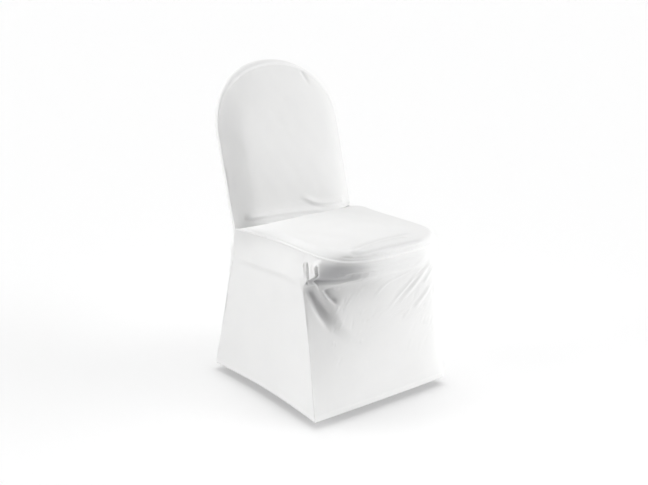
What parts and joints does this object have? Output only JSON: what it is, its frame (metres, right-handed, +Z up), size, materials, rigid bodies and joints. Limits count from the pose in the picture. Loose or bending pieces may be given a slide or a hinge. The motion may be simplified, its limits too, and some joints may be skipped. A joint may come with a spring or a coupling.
{
  "type": "fitted stretch-knit cover for a banquet chair",
  "caption": "Fitted stretch cover for a round-topped stacking chair: padded back, seat and a flared skirt reaching the floor.",
  "frame": {"origin": "just under the cloth at the top of the back, in the middle, where the chair's top carries the cover", "axes": "+Z up, -Y toward the front of the seat, +X to the right as seen from the front"},
  "size_m": [0.487, 0.6452, 0.9061],
  "materials": {
    "white_knit": "plain white stretch knit, fine and smooth, with a very soft sheen"
  },
  "bodies": {
    "root": {"back_front": "white_knit", "rear_panel": "white_knit", "seat_panel": "white_knit", "skirt_front": "white_knit", "side_left": "white_knit", "side_right": "white_knit"}
  },
  "joints": []
}
